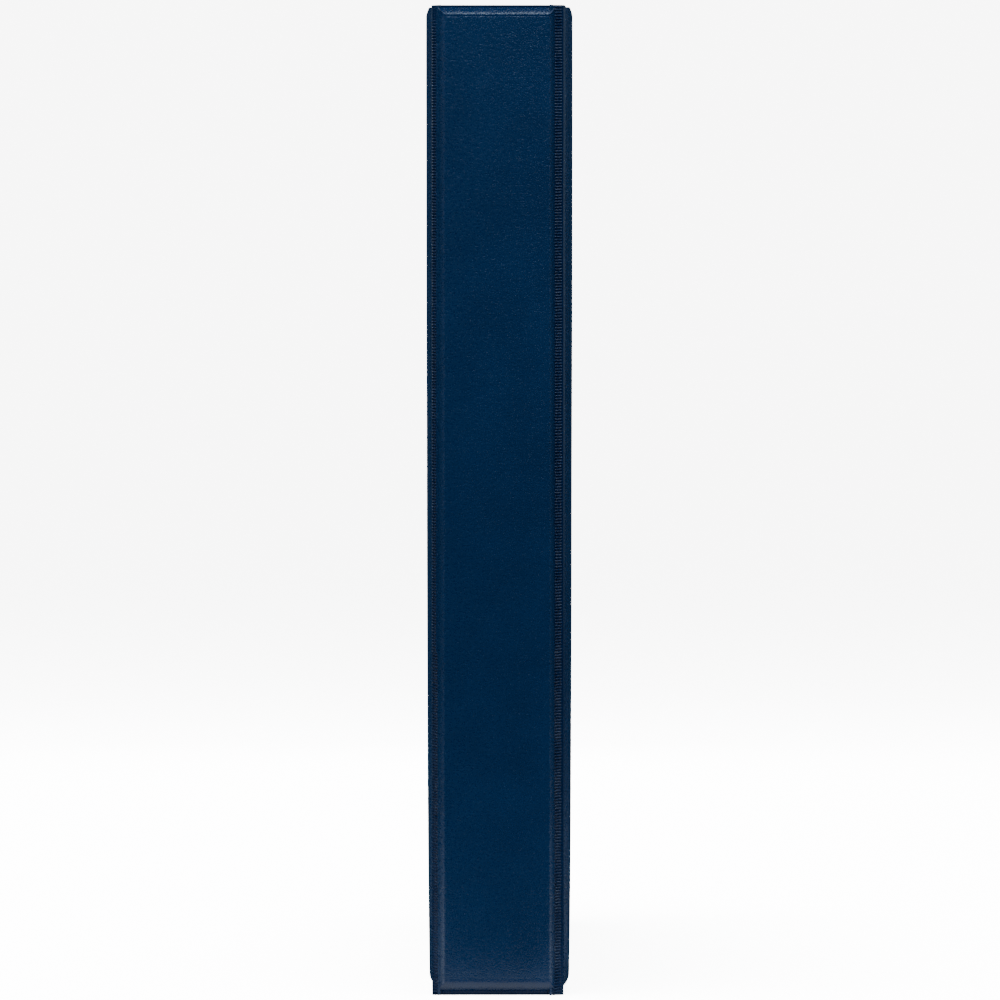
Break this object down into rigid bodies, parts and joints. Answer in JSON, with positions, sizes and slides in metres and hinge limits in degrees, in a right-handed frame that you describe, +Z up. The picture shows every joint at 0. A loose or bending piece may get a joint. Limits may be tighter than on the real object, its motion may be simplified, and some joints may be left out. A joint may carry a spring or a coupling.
{
  "type": "ring-bound pilot logbook",
  "caption": "Upright letter-size ring binder of heat-sealed vinyl with hinged covers, lever-opened round rings, log sheets, tab dividers and sheet lifters.",
  "frame": {"origin": "centre of the foot: the middle of the bounding box at the bottom edge it stands on", "axes": "+Z up along the spine, -Y out of the spine, +X out of the front cover"},
  "size_m": [0.0424, 0.267, 0.2921],
  "materials": {
    "navy_vinyl": "satin grained vinyl",
    "inner_vinyl": "fine matt vinyl",
    "pocket_vinyl": "smooth vinyl",
    "greyboard": "raw",
    "nickel_sheet": "nickel plated",
    "nickel_wire": "nickel plated",
    "blade_steel": "zinc plated",
    "rivet_steel": "nickel plated",
    "log_paper": "uncoated",
    "divider_card": "smooth card",
    "lifter_plastic": "satin"
  },
  "bodies": {
    "spine": {"spine_board": "greyboard", "spine_outer_vinyl": "navy_vinyl", "spine_inner_vinyl": "inner_vinyl", "front_hinge_web": "navy_vinyl", "back_hinge_web": "navy_vinyl", "ring_rail": "nickel_sheet", "top_rail_rivet": "rivet_steel", "bottom_rail_rivet": "rivet_steel", "top_lever_pin": "rivet_steel", "bottom_lever_pin": "rivet_steel"},
    "front_cover": {"front_cover_board": "greyboard", "front_cover_outer_vinyl": "navy_vinyl", "front_cover_inner_vinyl": "inner_vinyl", "front_pocket": "pocket_vinyl"},
    "back_cover": {"back_cover_board": "greyboard", "back_cover_outer_vinyl": "navy_vinyl", "back_cover_inner_vinyl": "inner_vinyl", "back_pocket": "pocket_vinyl"},
    "front_rings": {"front_blade": "blade_steel", "front_ring_top": "nickel_wire", "front_ring_middle": "nickel_wire", "front_ring_bottom": "nickel_wire"},
    "back_rings": {"back_blade": "blade_steel", "back_ring_top": "nickel_wire", "back_ring_middle": "nickel_wire", "back_ring_bottom": "nickel_wire"},
    "top_lever": {"top_lever": "nickel_sheet"},
    "bottom_lever": {"bottom_lever": "nickel_sheet"},
    "front_leaves": {"front_log_sheets_inner": "log_paper", "front_log_sheets_middle": "log_paper", "front_tab_divider": "divider_card", "front_log_sheets_outer": "log_paper", "front_sheet_lifter": "lifter_plastic"},
    "back_leaves": {"back_log_sheets_inner": "log_paper", "back_log_sheets_middle": "log_paper", "back_tab_divider": "divider_card", "back_log_sheets_outer": "log_paper", "back_sheet_lifter": "lifter_plastic"}
  },
  "joints": [
    {"name": "front_cover_hinge", "type": "hinge", "parent": "spine", "child": "front_cover", "pos_m": [0.019, -0.1313, 0.14605], "axis": [0, 0, -1], "range_deg": [0, 180], "deforming": ["front_hinge_web"]},
    {"name": "back_cover_hinge", "type": "hinge", "parent": "spine", "child": "back_cover", "pos_m": [-0.019, -0.1313, 0.14605], "axis": [0, 0, 1], "range_deg": [0, 180], "deforming": ["back_hinge_web"]},
    {"name": "front_ring_swing", "type": "hinge", "parent": "spine", "child": "front_rings", "pos_m": [0.0099, -0.129, 0.14605], "axis": [0, 0, -1], "range_deg": [0, 10]},
    {"name": "back_ring_swing", "type": "hinge", "parent": "spine", "child": "back_rings", "pos_m": [-0.0099, -0.129, 0.14605], "axis": [0, 0, 1], "range_deg": [0, 10]},
    {"name": "bottom_lever_pivot", "type": "hinge", "parent": "spine", "child": "bottom_lever", "pos_m": [0, -0.1286, 0.02], "axis": [-1, 0, 0], "range_deg": [0, 15]},
    {"name": "top_lever_pivot", "type": "hinge", "parent": "spine", "child": "top_lever", "pos_m": [0, -0.1286, 0.2721], "axis": [1, 0, 0], "range_deg": [0, 15]},
    {"name": "front_leaves_turn", "type": "hinge", "parent": "spine", "child": "front_leaves", "pos_m": [0, -0.1145, 0.14605], "axis": [0, 0, -1], "range_deg": [0, 99]},
    {"name": "back_leaves_turn", "type": "hinge", "parent": "spine", "child": "back_leaves", "pos_m": [0, -0.1145, 0.14605], "axis": [0, 0, 1], "range_deg": [0, 99]}
  ],
  "couplings": [
    {"joint": "back_ring_swing", "follows": "front_ring_swing", "ratio": 1},
    {"joint": "bottom_lever_pivot", "follows": "front_ring_swing", "ratio": 1.5},
    {"joint": "top_lever_pivot", "follows": "front_ring_swing", "ratio": 1.5},
    {"joint": "front_leaves_turn", "follows": "front_cover_hinge", "ratio": 0.55},
    {"joint": "back_leaves_turn", "follows": "back_cover_hinge", "ratio": 0.55}
  ]
}
